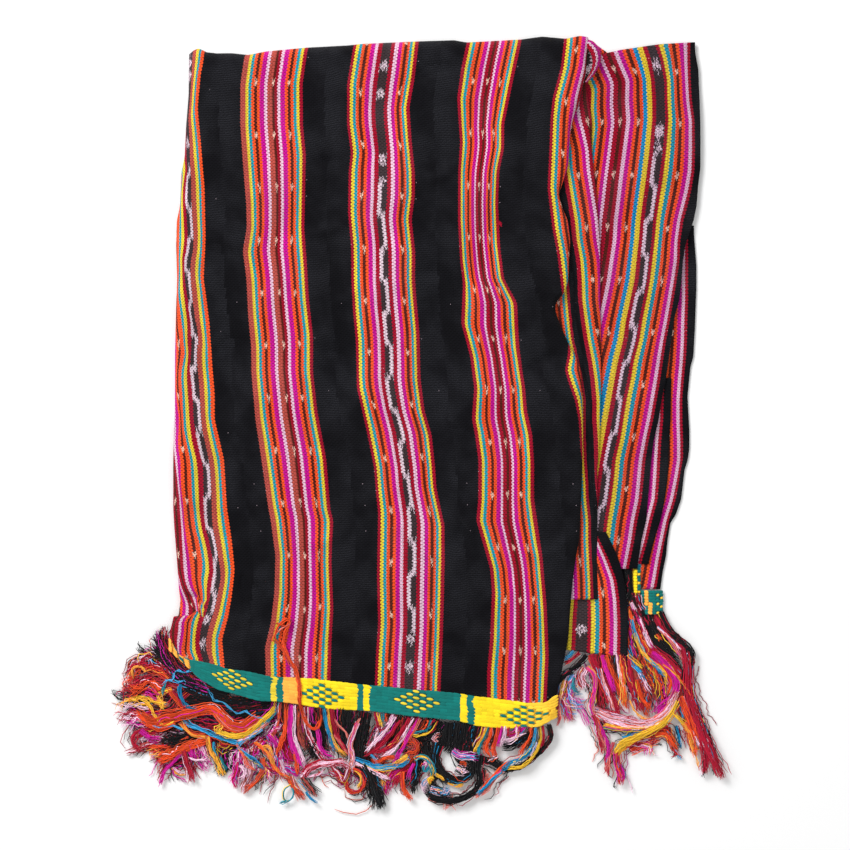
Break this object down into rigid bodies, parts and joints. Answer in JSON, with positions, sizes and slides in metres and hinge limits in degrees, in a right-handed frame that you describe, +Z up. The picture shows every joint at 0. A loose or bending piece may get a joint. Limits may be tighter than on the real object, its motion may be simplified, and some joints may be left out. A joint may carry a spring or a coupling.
{
  "type": "folded handwoven wrap cloth",
  "caption": "Folded handwoven wrap cloth lying flat: striped black ground, twined end band and long loose warp fringe.",
  "frame": {"origin": "on the flat underside, near the middle of the folded cloth", "axes": "+Y along the warp, away from the fringe; +X across the stripes towards the back panel; +Z up, away from the surface it lies on"},
  "size_m": [0.8138, 1.0406, 0.0263],
  "materials": {
    "striped_cloth": "matt warp-faced cotton, black ground with coloured and ikat stripes",
    "inner_cloth": "matt cotton, folded layers",
    "twined_band": "twined cotton, green and yellow",
    "fringe_yarn": "loose plied cotton in the colours of the stripes"
  },
  "bodies": {
    "root": {"hidden_layers": "inner_cloth", "front_panel": "striped_cloth", "twined_band_front": "twined_band", "inner_layer": "striped_cloth", "back_panel": "striped_cloth", "lower_flap": "striped_cloth", "under_strip": "striped_cloth", "selvedge_strip": "striped_cloth", "twined_band_back": "twined_band", "twined_band_stub": "twined_band", "loose_bundle": "fringe_yarn", "fringe_front_left": "fringe_yarn", "fringe_front_middle": "fringe_yarn", "fringe_front_right": "fringe_yarn", "fringe_flap": "fringe_yarn", "fringe_back": "fringe_yarn"}
  },
  "joints": []
}
